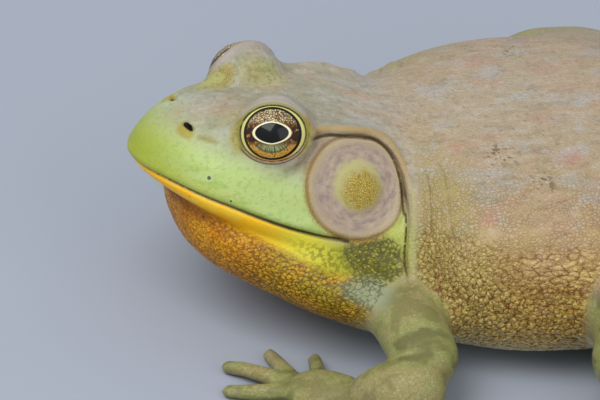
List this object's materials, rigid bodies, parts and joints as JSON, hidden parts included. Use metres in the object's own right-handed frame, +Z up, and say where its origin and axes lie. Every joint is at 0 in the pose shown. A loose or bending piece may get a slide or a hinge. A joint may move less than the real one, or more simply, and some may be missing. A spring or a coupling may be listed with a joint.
{
  "type": "bullfrog model",
  "caption": "Life-size still model of a resting bullfrog with a raised head, large round eardrums, bulging eyes, folded hind legs and webbed feet.",
  "frame": {"origin": "on the floor, under the middle of the bounding box", "axes": "+Z up, the trunk points along -Y with the head in front, +X is the frog's left; the head is raised and turned a little to the left"},
  "size_m": [0.194, 0.1674, 0.0599],
  "materials": {
    "skin": "moist olive and mauve-grey skin, finely granular",
    "throat": "moist orange-yellow skin, granular",
    "limb": "moist olive skin with darker bars",
    "web": "thin moist webbing",
    "eardrum": "smooth mauve-grey disc with a granular yellow-olive middle",
    "eye": "wet gold iris with a black oval pupil"
  },
  "bodies": {
    "root": {"head": "skin", "lower_jaw": "throat", "trunk": "skin", "rump": "skin", "eye_left": "eye", "ear_left": "eardrum", "upper_arm_left": "limb", "forearm_left": "limb", "hand_left": "limb", "finger_1_left": "limb", "finger_2_left": "limb", "finger_3_left": "limb", "finger_4_left": "limb", "thigh_left": "limb", "shank_left": "limb", "tarsus_left": "limb", "foot_left": "limb", "toe_1_left": "limb", "toe_2_left": "limb", "toe_3_left": "limb", "toe_4_left": "limb", "toe_5_left": "limb", "web_1_left": "web", "web_2_left": "web", "web_3_left": "web", "web_4_left": "web", "eye_right": "eye", "ear_right": "eardrum", "upper_arm_right": "limb", "forearm_right": "limb", "hand_right": "limb", "finger_1_right": "limb", "finger_2_right": "limb", "finger_3_right": "limb", "finger_4_right": "limb", "thigh_right": "limb", "shank_right": "limb", "tarsus_right": "limb", "foot_right": "limb", "toe_1_right": "limb", "toe_2_right": "limb", "toe_3_right": "limb", "toe_4_right": "limb", "toe_5_right": "limb", "web_1_right": "web", "web_2_right": "web", "web_3_right": "web", "web_4_right": "web"}
  },
  "joints": []
}
